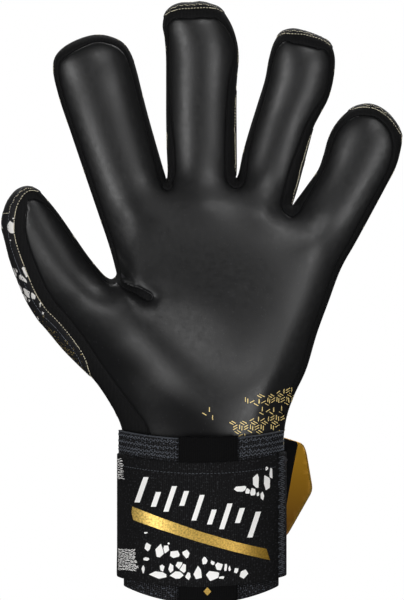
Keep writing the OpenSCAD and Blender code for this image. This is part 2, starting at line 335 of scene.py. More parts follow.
def capsule(p, a, b, r):
    """Distance of 2-D points from a strip between a and b that narrows towards a."""
    a, b = np.array(a, float), np.array(b, float)
    t = np.clip(((p - a) @ (b - a)) / ((b - a) @ (b - a)), 0, 1)
    return np.hypot(*(p - a - t[:, None] * (b - a)).T) - r * (0.75 + 0.25 * t)


# strips without latex: the fold between thumb and index, and the roots of the other fingers
NOTCHES = [((-41.8, 155.0), (-25.4, 145.6), 1.9), ((-16.3, 202.6), (-16.0, 200.6), 2.6),
           ((18.0, 203), (17.7, 201.5), 2.6), ((45.2, 190), (45.0, 187.8), 2.7)]


def latex_edge(p, d, w):
    """How far inside the latex's edge each point lies."""
    f = d - w[:, 0]
    for a, b, r in NOTCHES:
        f = np.minimum(f, capsule(p, a, b, r))
    return f


flat_wide = wide.reshape(-1, 2)
field_f = latex_edge(grid_points, signed.ravel(), flat_wide).reshape(inside.shape)
field_g = signed - wide[..., 1]
field_b = signed + wide[..., 1]


def only(where, field):
    """The field where it is wanted, and elsewhere values that make no line inside the hand."""
    return np.where(where, field, np.where(inside, 9, -9))


def contour(field, level):
    """Polylines where the grid field crosses the level."""
    f = field - level
    f = np.where(np.abs(f) < 1e-9, 1e-9, f)
    pos = f > 0
    corners = np.stack([pos[:-1, :-1], pos[1:, :-1], pos[:-1, 1:], pos[1:, 1:]])
    rows, cols = np.nonzero(corners.any(0) & ~corners.all(0))
    links = {}
    place = {}

    def crossing(r, c, r2, c2):
        key = (r, c, r2, c2)
        if key not in place:
            t = f[r, c] / (f[r, c] - f[r2, c2])
            place[key] = (GX[c] + t * (GX[c2] - GX[c]), GZ[r] + t * (GZ[r2] - GZ[r]))
        return key

    for r, c in zip(rows, cols):
        hits = []
        for e in ((r, c, r, c + 1), (r, c + 1, r + 1, c + 1), (r + 1, c, r + 1, c + 1), (r, c, r + 1, c)):
            if pos[e[0], e[1]] != pos[e[2], e[3]]:
                hits.append(crossing(*e))
        for a, b in zip(hits[::2], hits[1::2]):
            links.setdefault(a, []).append(b)
            links.setdefault(b, []).append(a)
    lines = []
    seen = set()
    for s in sorted(links, key=lambda k: len(links[k])):
        if s in seen:
            continue
        line = [s]
        seen.add(s)
        while True:
            step = [k for k in links[line[-1]] if k not in seen]
            if not step:
                break
            line.append(step[0])
            seen.add(step[0])
        closed = len(line) > 2 and line[0] in links[line[-1]]
        pts = np.array([place[k] for k in line])
        if closed:
            pts = np.vstack([pts, pts[:1]])
        if len(pts) > 8:
            lines.append(pts)
    return lines


def resample(line, step, ease=2):
    """The polyline with points about step apart, lightly smoothed."""
    closed = np.hypot(*(line[0] - line[-1])) < 1e-6
    for _ in range(ease):
        mid = line.copy()
        mid[1:-1] = 0.25 * line[:-2] + 0.5 * line[1:-1] + 0.25 * line[2:]
        if closed:
            mid[0] = mid[-1] = 0.25 * line[-2] + 0.5 * line[0] + 0.25 * line[1]
        line = mid
    s = np.concatenate([[0], np.cumsum(np.hypot(*np.diff(line, axis=0).T))])
    n = max(3, int(round(s[-1] / step)))
    at = np.linspace(0, s[-1], n + 1)
    return np.stack([np.interp(at, s, line[:, 0]), np.interp(at, s, line[:, 1])], 1), closed


# ---------------------------------------------------------------- plane triangulation
BOTTOM = 64.0
points, links = [], []


def upright(p, tris, least):
    """The flat triangles above the least size, all turned the same way round."""
    size = np.cross(p[tris[:, 1]] - p[tris[:, 0]], p[tris[:, 2]] - p[tris[:, 0]])
    tris, size = tris[np.abs(size) > least], size[np.abs(size) > least]
    tris[size < 0] = tris[size < 0][:, ::-1]
    return tris


def open_edges(tris, count):
    """The edges that only one triangle has, of a mesh with so many corners."""
    half = np.concatenate([tris[:, [0, 1]], tris[:, [1, 2]], tris[:, [2, 0]]])
    return half[~np.isin(half[:, 0] * count + half[:, 1], half[:, 1] * count + half[:, 0])]


def add_line(line, closed=False):
    """Adds a constrained polyline to the triangulation."""
    start = len(points)
    points.extend(map(tuple, line))
    for i in range(len(line) - 1):
        links.append((start + i, start + i + 1))
    if closed:
        links.append((start + len(line) - 1, start))


rim = edge[edge[:, 1] >= BOTTOM, :2]
add_line(rim)
base_x = np.arange(rim[-1, 0] - 1.2, rim[0, 0] + 0.6, -1.2)
base_z = np.linspace(rim[-1, 1], rim[0, 1], len(base_x) + 2)[1:-1]
points.extend(zip(base_x, base_z))
chain = [*range(len(rim) - 1, len(points)), 0]
links.extend(zip(chain[:-1], chain[1:]))


def within(p, margin=0.25):
    """Which 2-D points lie inside the outline and above its lower end, by the margin."""
    return (sample(signed, p) > margin) & (p[:, 1] > BOTTOM + margin)


def add_ring(field, level, step, fixed):
    """Adds points along the field's level line, as a constrained polyline if fixed."""
    for line in contour(field, level):
        if np.hypot(*np.diff(line, axis=0).T).sum() < 6:
            continue
        pts, closed = resample(line, step)
        if closed:
            pts = pts[:-1]
        ok = within(pts)
        if ok.sum() < 4:
            continue
        if fixed:
            runs = np.flatnonzero(np.diff(np.concatenate([[0], ok.astype(int), [0]])))
            for a, b in zip(runs[::2], runs[1::2]):
                if b - a > 3:
                    add_line(pts[a:b], closed and b - a == len(pts))
        else:
            points.extend(map(tuple, pts[ok]))


add_ring(field_f, 0.0, 0.7, True)
add_ring(only(wide[..., 1] > 0, field_g), 0.0, 0.7, True)
add_ring(only(wide[..., 1] < 0, field_b), 0.0, 0.7, True)
# rows of loose points beside those lines: level and step of each
BESIDE_LATEX = [(0.45, 0.8), (1.0, 0.9), (1.7, 1.1), (2.6, 1.3), (3.8, 1.6), (-0.45, 0.8), (-1.0, 0.9)]
BESIDE_RIM = [(0.22, 0.8), (0.7, 0.9), (1.35, 1.0), (2.2, 1.2)]
BESIDE_PANEL = [(-0.5, 0.9), (0.5, 0.9), (-1.3, 1.2)]
for field, rings in ((field_f, BESIDE_LATEX), (signed, BESIDE_RIM), (field_g, BESIDE_PANEL)):
    for level, step in rings:
        add_ring(field, level, step, False)
hx, hz = np.meshgrid(np.arange(-101, 103, 1.9), np.arange(BOTTOM, 292, 1.65))
hx = hx + (np.arange(hx.shape[0]) % 2)[:, None] * 0.95
free = np.stack([hx.ravel(), hz.ravel()], 1)
free = free[within(free, 1.6)]
sf = sample(field_f, free)
free = free[(sf > 4.6) | (sf < -1.6)]
points.extend(map(tuple, free))
# the lines across the digits where their pieces are parted
for name, spec in DIGITS.items():
    root, splay, cuts = spec[0], spec[1], spec[5]
    a = math.radians(splay)
    axis, across = np.array([math.sin(a), math.cos(a)]), np.array([math.cos(a), -math.sin(a)])
    for t in cuts:
        line = np.array(root) + axis * t + across * np.arange(-30, 30.1, 1.1)[:, None]
        ok = within(line, 0.12)
        lo = hi = len(line) // 2
        while lo > 0 and ok[lo - 1]:
            lo -= 1
        while hi < len(line) - 1 and ok[hi + 1]:
            hi += 1
        add_line(line[max(lo - 1, 0):hi + 2])

# thin out loose points that crowd the fixed lines or each other
pts = np.array(points)
locked = np.zeros(len(pts), bool)
for a, b in links:
    locked[a] = locked[b] = True
gap = 0.34
cell = {}
keep = []
order = np.concatenate([np.flatnonzero(locked), np.flatnonzero(~locked)])
for i in order:
    x, z = pts[i]
    cx, cz = int(x // gap), int(z // gap)
    around = (j for a in (cx - 1, cx, cx + 1) for b in (cz - 1, cz, cz + 1) for j in cell.get((a, b), ()))
    if not locked[i] and any((pts[j, 0] - x) ** 2 + (pts[j, 1] - z) ** 2 < gap * gap for j in around):
        continue
    cell.setdefault((cx, cz), []).append(i)
    keep.append(i)
new_id = {old: k for k, old in enumerate(keep)}
cdt = geometry.delaunay_2d_cdt([Vector(pts[i]) for i in keep],
                               [(new_id[a], new_id[b]) for a, b in links], [], 0, 1e-4)
P, T = (np.array([tuple(v) for v in cdt[k]]) for k in (0, 2))
cen = P[T].mean(1)
T = upright(P, T[(sample(signed, cen) > 0.02) & (cen[:, 1] > BOTTOM)], 1e-5)
used = np.unique(T)
remap = np.full(len(P), -1)
remap[used] = np.arange(len(used))
P, T = P[used], remap[T]

# ---------------------------------------------------------------- the two faces of the hand, in mm
D, W = nearest(P)
on_rim = D < 0.04
D[on_rim] = 0
F = latex_edge(P, D, W)
F[on_rim] = -np.maximum(W[on_rim, 0], 0.3)
tc = P[T].mean(1)
dc, wc = nearest(tc)
fc = latex_edge(tc, dc, wc)
part = np.zeros(len(T), int)
names = list(DIGITS)
score = np.full(len(T), 1e9)
for k, name in enumerate(names):
    t, s = along(name, tc)
    half, cuts = DIGITS[name][2], DIGITS[name][5]
    mine = np.abs(s) < 21.5 if name == "thumb" else (np.abs(s) < half + 6) & (tc[:, 1] > 180)
    closer = mine & (t > cuts[0]) & (np.abs(s) / half < score)
    score[closer] = (np.abs(s) / half)[closer]
    part[closer] = (1 + 2 * k + (t > cuts[1]))[closer]

N = len(P)
back_id = np.where(on_rim, np.arange(N), N + np.arange(N))
h = half_thickness(P, D)
yc = middle_y(P)
xyz = np.zeros((2 * N, 3))
xyz[:N] = np.stack([P[:, 0], yc - h, P[:, 1]], 1)
xyz[N:] = np.stack([P[:, 0], yc + BACK * h, P[:, 1]], 1)
tri_front = T
tri_back = back_id[T][:, ::-1]
ALL = np.vstack([tri_front, tri_back])


def vertex_normals(v, tris):
    """Unit normals at the corners, weighted by the size of the triangles round them."""
    n = np.cross(v[tris[:, 1]] - v[tris[:, 0]], v[tris[:, 2]] - v[tris[:, 0]])
    out = np.zeros_like(v)
    for c in range(3):
        for k in range(3):
            out[:, k] += np.bincount(tris[:, c], n[:, k], len(v))
    return out / np.maximum(np.linalg.norm(out, axis=1, keepdims=True), 1e-12)


normal = vertex_normals(xyz, ALL)
if normal[:N, 1][~on_rim].mean() > 0:
    tri_front, tri_back = tri_front[:, ::-1], tri_back[:, ::-1]
    ALL = np.vstack([tri_front, tri_back])
    normal = -normal

# relief of the palm side: rolled latex edges, pads and hollows (height, x, z, two half sizes, turn)
PADS = [(3.6, -25, 130, 17, 36, 51), (1.4, 36, 112, 17, 30, -12), (-3.2, 6, 142, 30, 24),
        (2.4, 6, 101, 36, 15), (0.9, -33, 186, 9, 7), (0.9, 2, 190, 9, 7), (0.9, 32, 186, 9, 7),
        (0.8, 56, 172, 9, 8)]
fold = capsule(P, (-43, 156), (-24, 145), 0)
relief = np.zeros(2 * N)
roll = np.where(F > 0, -1.2 * np.exp(-F / 0.35), -1.2 * np.exp(F / 0.4))
relief[:N] = roll * (1 - 0.85 * bump(P, -42.5, 155.5, 6, 6))
relief[:N] += smooth(D, 4, 16) * sum(high * bump(P, *spot) for high, *spot in PADS)
relief[:N] -= 1.5 * np.exp(-(fold / 3.6) ** 2)
g_front = D - W[:, 1]
g_back = -D - W[:, 1]
relief[:N] += np.where(g_front < 0, 0.35, 0) - 0.4 * np.exp(-(g_front / 0.5) ** 2)
relief[N:] = np.where(g_back > 0, 0, 0.5 * (1 - np.exp(np.minimum(g_back, 0) / 1.2))) \
    - 0.5 * np.exp(-(g_back / 0.5) ** 2)
relief[:N][on_rim] = np.where(W[on_rim, 1] > 0, 0.3, 0)
xyz += normal * relief[:, None]
draw_in(xyz)
normal = vertex_normals(xyz, ALL)

front_kind = np.where(fc > 0, 0, np.where(dc < wc[:, 1], 2, 1))
back_kind = np.where(-dc - wc[:, 1] > 0, 1, 2)
kind = np.concatenate([front_kind, back_kind])
parts = np.concatenate([part, part])


# ---------------------------------------------------------------- materials
def new_material(name, color, rough, metallic=0.0, specular=0.5):
    m = bpy.data.materials.new(name)
    m.use_nodes = True
    b = m.node_tree.nodes["Principled BSDF"]
    b.inputs["Base Color"].default_value = (*color, 1)
    b.inputs["Roughness"].default_value = rough
    b.inputs["Metallic"].default_value = metallic
    b.inputs["Specular IOR Level"].default_value = specular
    return m


class Nodes:
    """Short names for a material's nodes; an input takes a number, a colour or another's output."""

    def __init__(self, material):
        self.tree = material.node_tree
        self.shader = self.tree.nodes["Principled BSDF"]

    def put(self, socket, value):
        if isinstance(value, bpy.types.NodeSocket):
            self.tree.links.new(value, socket)
        elif socket.type == "RGBA":
            socket.default_value = (*value, 1)
        else:
            socket.default_value = value

    def add(self, kind, inputs=(), **settings):
        n = self.tree.nodes.new(kind)
        for key, value in settings.items():
            setattr(n, key, value)
        for key, value in dict(inputs).items():
            self.put(n.inputs[key], value)
        return n

    def set(self, socket, value):
        self.put(self.shader.inputs[socket], value)

    def attribute(self, name="rest"):
        return self.add("ShaderNodeAttribute", attribute_name=name).outputs["Vector"]

    def axes(self, name="rest"):
        return self.add("ShaderNodeSeparateXYZ", {0: self.attribute(name)}).outputs

    def math(self, op, *values):
        return self.add("ShaderNodeMath", enumerate(values), operation=op).outputs[0]

    def noise(self, vector, scale, detail=2.0, output="Fac"):
        inputs = {"Vector": vector, "Scale": scale, "Detail": detail}
        return self.add("ShaderNodeTexNoise", inputs).outputs[output]

    def bump(self, height, strength, distance):
        n = self.add("ShaderNodeBump", {"Height": height, "Strength": strength, "Distance": distance})
        self.set("Normal", n.outputs[0])

    def ramp(self, value, lo, hi, a, b):
        inputs = {"Value": value, "From Min": lo, "From Max": hi, "To Min": a, "To Max": b}
        return self.add("ShaderNodeMapRange", inputs).outputs["Result"]

    def mix(self, fac, a, b):
        return self.add("ShaderNodeMix", {0: fac, 6: a, 7: b}, data_type="RGBA").outputs[2]


def latex_material():
    """Smooth foam with a fine grain, with painted shade: its highlights are cut where the print attribute
    asks for it.
    """
    dark = (0.009, 0.0091, 0.0095)
    m = new_material("latex", dark, 0.4)
    t = Nodes(m)
    r = t.attribute()
    fine = t.noise(r, 2600, 3)
    coarse = t.noise(r, 420, 2)
    t.set("Base Color", t.mix(t.ramp(t.noise(r, 900, 1), 0.68, 0.78, 0, 1), dark, (0.022, 0.022, 0.023)))
    t.set("Roughness", t.ramp(coarse, 0.3, 0.7, 0.37, 0.45))
    # painted shade: the specular level falls from 0.5 to 0.03 as the print attribute's first value rises
    t.set("Specular IOR Level", t.ramp(t.axes("print")[0], 0, 1, 0.5, 0.03))
    t.bump(t.math("ADD", fine, t.math("MULTIPLY", coarse, 0.5)), 0.35, 0.00008)
    return m


def fabric_material(name, color, pitch, rough=0.75, strength=0.5, lift=2.4, fleck=None):
    """Woven cloth: two crossing rows of threads, the upper ones lighter by lift."""
    m = new_material(name, color, rough, specular=0.13)
    t = Nodes(m)
    x, _, z = t.axes()
    turn = 2 * math.pi / pitch
    a = t.math("SINE", t.math("MULTIPLY", t.math("ADD", x, z), turn))
    b = t.math("SINE", t.math("MULTIPLY", t.math("SUBTRACT", z, t.math("MULTIPLY", x, 0.6)), turn))
    weave = t.math("MULTIPLY", a, b)
    grain = t.noise(t.attribute(), 1500, 2)
    t.bump(t.math("ADD", weave, grain), strength, 0.00015)
    light = tuple(min(1, c * lift) for c in color)
    col = t.mix(t.ramp(t.math("MULTIPLY", weave, grain), -0.2, 0.6, 0, 1), color, light)
    if fleck:
        col = t.mix(t.ramp(t.noise(t.attribute(), 1100, 1), 0.6, 0.68, 0, 1), col, fleck)
    t.set("Base Color", col)
    return m


def back_material():
    """Embossed cloth with pale patches and gold flecks where the print attribute asks for them."""
    m = new_material("back", (0.010, 0.010, 0.011), 0.75, specular=0.22)
    t = Nodes(m)
    r = t.attribute()
    pale_share, gold_share, phase = t.axes("print")
    wobble = t.noise(r, 160.0, 1.0, "Color")
    warp = t.add("ShaderNodeVectorMath", {0: wobble, 1: (0.0022,) * 3, 2: r}, operation="MULTIPLY_ADD")

    def patches(scale, gap, amount):
        """Cells of a warped pattern with gaps between them, of which only the share amount is kept."""
        at = {"Vector": warp.outputs[0], "Scale": scale}
        edges = t.add("ShaderNodeTexVoronoi", at, feature="DISTANCE_TO_EDGE").outputs["Distance"]
        color = t.add("ShaderNodeTexVoronoi", at, feature="F1").outputs["Color"]
        chosen = t.math("LESS_THAN", t.add("ShaderNodeSeparateColor", {0: color}).outputs[0], amount)
        return t.math("MULTIPLY", t.ramp(edges, gap, gap + 0.03, 0, 1), chosen)

    white = patches(185.0, 0.11, pale_share)
    gold = patches(1000.0, 0.16, gold_share)
    weave = t.noise(r, 1300, 2)
    col = t.mix(t.ramp(weave, 0.4, 0.8, 0, 1), (0.008, 0.008, 0.009), (0.022, 0.022, 0.024))
    col = t.mix(gold, col, (0.32, 0.24, 0.09))
    t.set("Base Color", t.mix(white, col, (0.84, 0.82, 0.79)))
    relief = t.math("ADD", white, t.math("SINE", phase))
    t.bump(t.math("ADD", t.math("MULTIPLY", weave, 0.6), relief), 0.6, 0.00025)
    return m


def gold_material():
    """Grainy gold print with a painted highlight: lighter towards its left end."""
    m = new_material("gold", (0.55, 0.36, 0.07), 0.42, metallic=0.5)
    t = Nodes(m)
    grain = t.noise(t.attribute(), 1100, 3)
    # painted highlight: the gold is lighter towards the band's left end
    col = t.mix(t.ramp(t.axes()[0], -0.036, 0.034, 1, 0), (0.5, 0.29, 0.035), (0.95, 0.66, 0.17))
    t.set("Base Color", t.mix(t.ramp(grain, 0.38, 0.7, 0, 0.75), col, (0.2, 0.12, 0.02)))
    t.bump(grain, 0.5, 0.0001)
    return m


def tab_material():
    """Coated gold cloth with painted shade: darker towards its lower end."""
    m = new_material("tab", (0.36, 0.2, 0.025), 0.45, metallic=0.3)
    t = Nodes(m)
    height = t.axes()[2]
    # painted shade: the tab darkens towards its lower end
    t.set("Base Color", t.mix(t.ramp(height, 0.03, 0.066, 0, 1), (0.2, 0.08, 0.004), (0.62, 0.31, 0.014)))
    t.bump(t.noise(t.attribute(), 900, 2), 0.3, 0.0001)
    return m


MAT = {
    "latex": latex_material(),
    "gusset": fabric_material("gusset", (0.0045, 0.0045, 0.0047), 0.0011, 0.9, 0.6, lift=4),
    "back": back_material(),
    "lining": fabric_material("lining", (0.03, 0.03, 0.033), 0.0016, 0.9, 0.6),
    "knit": fabric_material("knit", (0.003, 0.003, 0.0033), 0.0019, 0.9, 1.0, 12, (0.1, 0.112, 0.135)),
    "strap": fabric_material("strap", (0.0024, 0.0024, 0.0026), 0.0013, 0.8, 0.9, 7, (0.03, 0.031, 0.034)),
    "webbing": fabric_material("webbing", (0.0012, 0.0012, 0.0014), 0.0012, 0.85, 0.8),
    "hook": fabric_material("hook", (0.004, 0.004, 0.0045), 0.0008, 0.7, 1.0),
    "loop": fabric_material("loop", (0.008, 0.008, 0.009), 0.0013, 0.95, 1.0),
    "cream": new_material("cream", (0.62, 0.57, 0.42), 0.6),
    "white": new_material("white", (0.97, 0.96, 0.94), 0.55),
    "gold": gold_material(),
    "gold_print": new_material("gold_print", (0.95, 0.74, 0.3), 0.5, metallic=0.1),
    "tab": tab_material(),
    "thread": new_material("thread", (0.1, 0.11, 0.13), 0.8),
}


# ---------------------------------------------------------------- making pieces
def make_object(name, verts, faces, mat, slot, normals=None, smooth_all=True, rest=None):
    """A mesh from corners in millimetres, kept with its rest position for the patterns."""
    mesh = bpy.data.meshes.new(name)
    verts = np.asarray(verts, float) * MM
    mesh.from_pydata([tuple(v) for v in verts], [], [tuple(int(i) for i in f) for f in faces])
    mesh.update()
    a = mesh.attributes.new("rest", "FLOAT_VECTOR", "POINT")
    rest = verts if rest is None else np.asarray(rest) * MM
    a.data.foreach_set("vector", rest.astype(np.float32).ravel())
    if smooth_all:
        mesh.polygons.foreach_set("use_smooth", [True] * len(mesh.polygons))
    if normals is not None:
        mesh.normals_split_custom_set_from_vertices([tuple(n) for n in normals])
    mesh.materials.append(MAT[mat])
    o = new_object(name, mesh)
    return o


def tube(rings, sides, base=0):
    """Four-cornered faces that join rings of corners, one after the other."""
    turns = [(k, (k + 1) % sides) for k in range(sides)]
    starts = range(base, base + (rings - 1) * sides, sides)
    return [(i + k, i + l, i + sides + l, i + sides + k) for i in starts for k, l in turns]


def shell(name, tris, depth0, depth1, mat, slot):
    """A closed skin from the hand's surface: from depth0 to depth1 below it."""
    used = np.unique(tris)
    new = np.full(2 * N, -1)
    new[used] = np.arange(len(used))
    t = new[tris]
    m = len(used)
    outer = xyz[used] - normal[used] * depth0
    inner = xyz[used] - normal[used] * depth1
    faces = [*map(tuple, t), *((c + m, b + m, a + m) for a, b, c in t),
             *((b, a, a + m, b + m) for a, b in open_edges(t, m))]
    both = np.vstack([normal[used], -normal[used]])
    o = make_object(name, np.vstack([outer, inner]), faces, mat, slot, normals=both,
                    rest=np.vstack([xyz[used], xyz[used]]))
    # the print attribute: print on the back panel, painted shade on the latex
    if mat in ("back", "latex"):
        a = o.data.attributes.new("print", "FLOAT_VECTOR", "POINT")
        a.data.foreach_set("vector", np.vstack([print_and_painted_shade[used], print_and_painted_shade[used]]).astype(np.float32).ravel())
    return o


def mm(*p):
    return tuple(c * MM for c in p)


def part_name(code, label=""):
    """A part's name: its digit, its kind of cloth, and which half of the digit it is."""
    return names[(code - 1) // 2] + label + ("_distal" if code % 2 == 0 else "_proximal")


def bend_place(name, where):
    """The point on a digit's middle line at that length along it."""
    root, splay, _, lean = DIGITS[name][:4]
    a = math.radians(splay)
    k = math.tan(math.radians(lean[0]))
    return mm(root[0] + where * math.sin(a), -where * k, root[1] + where * math.cos(a))


def attach(o, code):
    """Bakes the piece's placement into its mesh; for a digit's piece the places where its joint bends are
    worked out but not used.
    """
    if code == 0:
        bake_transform(o)
        return
    name = names[(code - 1) // 2]
    spec = DIGITS[name]
    if code % 2:
        a, b = spec[6]
        bend_place(name, a)
        bend_place(name, b)
        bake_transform(o)
    else:
        a, b = spec[7]
        p, q = bend_place(name, a), bend_place(name, b)
        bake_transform(o)
        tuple(p)


# the back's print: share of pale patches, share of gold flecks, and the phase of its ridges; on the latex
# the first is painted shade
Q = np.vstack([P, P])
print_and_painted_shade = np.zeros((2 * N, 3))
is_back = np.arange(2 * N) >= N
pale = np.where(is_back, 0.12, 0.0)
pale = np.maximum(pale, 0.95 * bump(Q, -89, 149, 9, 13, 30))
pale = np.maximum(pale, 0.8 * bump(Q, -97, 184, 7, 9))
golden = np.where(is_back, 0.15, 0.0)
golden = np.maximum(golden, 1.2 * bump(Q, -73, 121, 5, 16, 45))
for name in names:
    t, s = along(name, Q)
    mine = (np.abs(s) < DIGITS[name][2] + 2) & is_back & (t > 6)
    pale = np.where(mine, np.maximum(pale, 0.55 * smooth(t, 30, 60)), pale)
    golden = np.where(mine, 0.1, golden)
    print_and_painted_shade[:, 2] = np.where(mine & (t > 14) & (t < 60), t * 0.9, print_and_painted_shade[:, 2])
print_and_painted_shade[:, 0], print_and_painted_shade[:, 1] = pale, golden
# painted shade on the latex: its highlights are cut along its edge, on the heel, in the hollow of the hand,
# by the fold and inside the thumb
heel_shade = smooth(past_ridge(P, -58.3, 138.2), -6, 7) * smooth(P[:, 0], 34, 0)
painted_shade = np.maximum(0.92 * heel_shade, 0.45 * bump(P, -6, 150, 30, 24))
painted_shade = np.maximum(painted_shade, 0.85 * bump(P, -32, 166, 9, 26, -12))
painted_shade = np.maximum(painted_shade, 0.65 * bump(P, -13, 146, 9, 8))
t, s = along("thumb", P)
painted_shade = np.maximum(painted_shade, 0.65 * smooth(s, 1, 9) * smooth(t, 6, 20) * smooth(s, 26, 20))
print_and_painted_shade[:N, 0] = np.where(F > 0, np.maximum(painted_shade, 1 - smooth(F, 0.1, 1.1)), print_and_painted_shade[:N, 0])
middle_back = is_back & (Q[:, 1] > 100) & (Q[:, 1] < 185) & (Q[:, 0] > -45)
print_and_painted_shade[:, 2] = np.where(middle_back, np.abs(Q[:, 0] - 8) * 0.55 + Q[:, 1] * 0.45, print_and_painted_shade[:, 2])

# kind of cloth: label, material, slot, thickness, name of its piece on the hand, nodes that this replaces
KINDS = [("palm", "latex", "latex_foam", 3.0, "palm_latex", ["palm_latex"]),
         ("gusset", "gusset", "gusset_fabric", 1.8, "side_gussets",
          ["thumb_side_gusset", "pinky_side_gusset", "finger_webs", "wrist_knit"]),
         ("back", "back", "back_panel", 2.4, "backhand_panel", ["backhand_panel"])]
for code in range(2 * len(names) + 1):
    for k, (label, mat, slot, thick, on_hand, nodes) in enumerate(KINDS):
        tris = ALL[(parts == code) & (kind == k)]
        if not len(tris):
            continue
        title = on_hand if code == 0 else part_name(code, "_" + label)
        o = shell(title + "_skin", tris, 0, thick, mat, slot)
        attach(o, code)
        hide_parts(*(nodes if code == 0 else [title]))
for title, sel, top, low, on in (("palm_lining", slice(0, len(T)), 3.1, 3.9, "palm_latex_skin"),
                                 ("back_lining", slice(len(T), None), 2.6, 3.4, "backhand_panel_skin")):
    tris = ALL[sel][parts[sel] == 0]
    o = shell(title + "_skin", tris, top, low, "lining", "lining")
    attach(o, 0)
    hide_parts(title)
    a, b, c = (xyz[tris[:, k]] for k in range(3))

# ---------------------------------------------------------------- the cuff
ROUND = 33  # radius that turns an angle on the cuff into a length for the patterns, mm


def oval(u, off):
    """The place on the cuff's oval at angle u in degrees, moved out by off."""
    u = np.radians(u)
    x, y = CA * np.cos(u), CB * np.sin(u)
    nx, ny = np.cos(u) / CA, np.sin(u) / CB
    size = np.hypot(nx, ny)
    nx, ny = nx / size, ny / size
    return CX + x + nx * off, y + ny * off


def sag(u, z, amount=3.6):
    """The cuff's edges dip at the middle of the palm side and of the back."""
    return z + amount * (np.cos(np.radians(u)) ** 2 - 1)


def band(name, u0, u1, z_low, z_high, off0, off1, mat, slot, corner=0.4, rows=26, step=2.5, swell=None,
         dip=3.6, dip_low=None):
    """A strip of cloth round the cuff with rounded edges; swell(u, z) lifts its outer face."""
    us = np.linspace(u0, u1, int((u1 - u0) / step) + 1)
    closed = u1 - u0 == 360
    if closed:
        us = us[:-1]
    c = min(corner, (off1 - off0) * 0.49)
    zs = np.concatenate([[0, c * 0.3, c], np.linspace(c, z_high - z_low - c, rows)[1:-1],
                         [z_high - z_low - c, z_high - z_low - c * 0.3, z_high - z_low]]) + z_low
    offs = np.full(len(zs), off1)
    offs[[0, -1]] = off1 - c
    offs[[1, -2]] = off1 - c * 0.3
    prof_z = np.concatenate([zs, zs[::-1]])
    outer = np.concatenate([np.ones(len(zs), bool), np.zeros(len(zs), bool)])
    prof_o = np.concatenate([offs, np.full(len(zs), off0)])
    m = len(prof_z)
    verts = []
    for u in us:
        o = prof_o.copy()
        if swell is not None:
            edge_fade = np.clip(np.minimum(prof_z - z_low, z_high - prof_z) / 1.5, 0, 1)
            o = o + np.where(outer, swell(u, prof_z) * edge_fade, 0)
        x, y = oval(u, o)
        low = dip if dip_low is None else dip_low
        amount = low + (dip - low) * (prof_z - z_low) / (z_high - z_low)
        verts.append(np.stack([x, y, sag(u, prof_z, amount)], 1))
    verts = np.vstack(verts)
    n = len(us)
    faces = [(i * m + j, (i + 1) % n * m + j, (i + 1) % n * m + (j + 1) % m, i * m + (j + 1) % m)
             for i in range(n if closed else n - 1) for j in range(m)]
    if not closed:
        for s, way in ((0, 1), ((n - 1) * m, -1)):
            for j in range(m // 2 - 1):
                f = (s + j, s + j + 1, s + m - 2 - j, s + m - 1 - j)
                faces.append(f if way > 0 else f[::-1])
    rest = np.stack([np.repeat(np.radians(us), m) * ROUND, 0 * verts[:, 1], verts[:, 2]], 1)
    return make_object(name, verts, faces, mat, slot, rest=rest)


def ripple(amount, seed, ku=5, kz=0.16):
    """Soft uneven folds for a worn strap."""
    r = np.random.default_rng(seed)
    terms = [(r.uniform(0.5, 1) * ku, r.uniform(-1, 1) * kz, r.uniform(0, 6.3)) for _ in range(5)]
    return lambda u, z: amount * sum(np.sin(math.radians(u) * a + z * b + c) for a, b, c in terms) / 5


STRAP = (8.6, 69.2, 2.4, 4.6)  # lower and upper edge, inner and outer distance from the oval, mm
strap_swell = ripple(0.35, 5, 6, 0.09)
sleeve = band("cuff_sleeve_knit", 0, 360, 5.4, 66, -2.5, 0, "lining", "lining", step=5, dip_low=7.6)
hem = band("lower_hem_band_knit", 0, 360, 4.2, 14.6, 0.2, 1.3, "knit", "knit_band", step=3, rows=8,
           dip=7.4, swell=lambda u, z: 0.16 * np.sin(math.radians(u) * 110) * np.ones_like(z))
upper = band("upper_knit_band_knit", 0, 360, 66, 80, 2.6, 3.8, "knit", "knit_band", step=3, rows=14,
             swell=ripple(0.25, 3))
cord = band("upper_band_cord", 0, 360, 79.8, 80.5, 3.2, 3.95, "thread", "knit_band", step=3, rows=4)
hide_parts("cuff_sleeve")
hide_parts("lower_hem_band")
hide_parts("upper_knit_band")
strip = band("pull_strip_webbing", 254, 296.5, 69.0, 81.3, 3.85, 4.9, "webbing", "pull_webbing", step=1.5,
             rows=24, swell=ripple(0.5, 11, 12, 0.5))
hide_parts("pull_strip")
strap = band("wrist_strap_front_elastic", 184, 337, *STRAP, "strap", "strap_elastic", step=1.2,
             rows=40, corner=0.8, swell=strap_swell)
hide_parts("wrist_strap_front")
binding = band("strap_end_binding_edge", 337.2, 360, 9.2, 70, 2.4, 5.2, "knit", "strap_elastic", step=1.5,
               rows=40, corner=0.8)
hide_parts("strap_end_binding")
back_strap = band("wrist_strap_back_elastic", 100, 184, *STRAP, "strap", "strap_elastic", step=1.5,
                  rows=40, corner=0.8)
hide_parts("wrist_strap_back")
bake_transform(back_strap)
loop = band("loop_patch_pile", 45, 98, 13, 65, 0.2, 1.4, "loop", "loop_tape", step=2)
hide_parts("loop_patch")
# the folded loop at the lower edge: it hangs from under the strap
tongue = band("pull_loop_webbing", 254, 296.5, 0.0, 9.3, 1.8, 4.2, "webbing", "pull_webbing", step=1.5,
              rows=12, corner=1.0, swell=ripple(0.3, 23, 12, 0.5), dip=2.6)
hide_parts("pull_loop")
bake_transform(tongue)
for o in (sleeve, hem, upper, cord, strip, strap, binding, loop):
    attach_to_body(o, "cuff")


